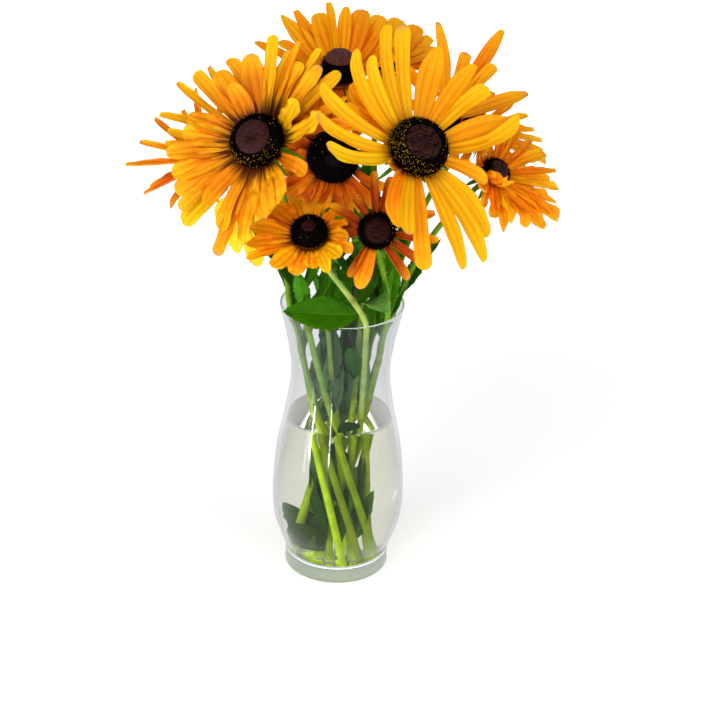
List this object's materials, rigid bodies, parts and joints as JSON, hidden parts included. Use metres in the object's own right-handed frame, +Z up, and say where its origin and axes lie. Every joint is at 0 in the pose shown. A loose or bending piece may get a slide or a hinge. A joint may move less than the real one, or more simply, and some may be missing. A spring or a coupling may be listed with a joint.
{
  "type": "black eyed susan flower",
  "caption": "Clear glass hourglass vase with water and a loose bouquet of golden orange black-eyed Susans: dark domed cones, drooping ray petals, hairy green stems and leaves.",
  "frame": {"origin": "centre of the vase's flat underside", "axes": "+Z up out of the vase's mouth, +X to the right and -Y towards the side that the front blooms look to"},
  "size_m": [0.2615, 0.18, 0.3589],
  "materials": {
    "vase_glass": "clear, smooth, fire polished",
    "water": "clear, faintly tinted liquid",
    "florets": "matte, bristly, velvety",
    "rays": "satin petal, ribbed lengthwise",
    "bracts": "matte, hairy",
    "stems": "matte, hairy",
    "leaves": "matte, veined"
  },
  "bodies": {
    "root": {"vase": "vase_glass", "water": "water", "front_right_cone": "florets", "front_right_rays": "rays", "front_right_bracts": "bracts", "front_right_stem": "stems", "front_left_cone": "florets", "front_left_rays": "rays", "front_left_bracts": "bracts", "front_left_stem": "stems", "top_cone": "florets", "top_rays": "rays", "top_bracts": "bracts", "top_stem": "stems", "centre_cone": "florets", "centre_rays": "rays", "centre_bracts": "bracts", "centre_stem": "stems", "low_left_cone": "florets", "low_left_rays": "rays", "low_left_bracts": "bracts", "low_left_stem": "stems", "low_right_cone": "florets", "low_right_rays": "rays", "low_right_bracts": "bracts", "low_right_stem": "stems", "right_cone": "florets", "right_rays": "rays", "right_bracts": "bracts", "right_stem": "stems", "behind_right_cone": "florets", "behind_right_rays": "rays", "behind_right_bracts": "bracts", "behind_right_stem": "stems", "behind_top_cone": "florets", "behind_top_rays": "rays", "behind_top_bracts": "bracts", "behind_top_stem": "stems", "far_left_cone": "florets", "far_left_rays": "rays", "far_left_bracts": "bracts", "far_left_stem": "stems", "low_behind_cone": "florets", "low_behind_rays": "rays", "low_behind_bracts": "bracts", "low_behind_stem": "stems", "far_right_cone": "florets", "far_right_rays": "rays", "far_right_bracts": "bracts", "far_right_stem": "stems", "rim_leaf": "leaves", "curled_leaf": "leaves", "torn_leaf": "leaves", "mouth_leaf": "leaves", "left_leaf": "leaves", "back_leaf": "leaves", "centre_leaf": "leaves", "neck_leaf": "leaves", "waterline_leaf": "leaves", "sunken_leaf": "leaves"}
  },
  "joints": []
}
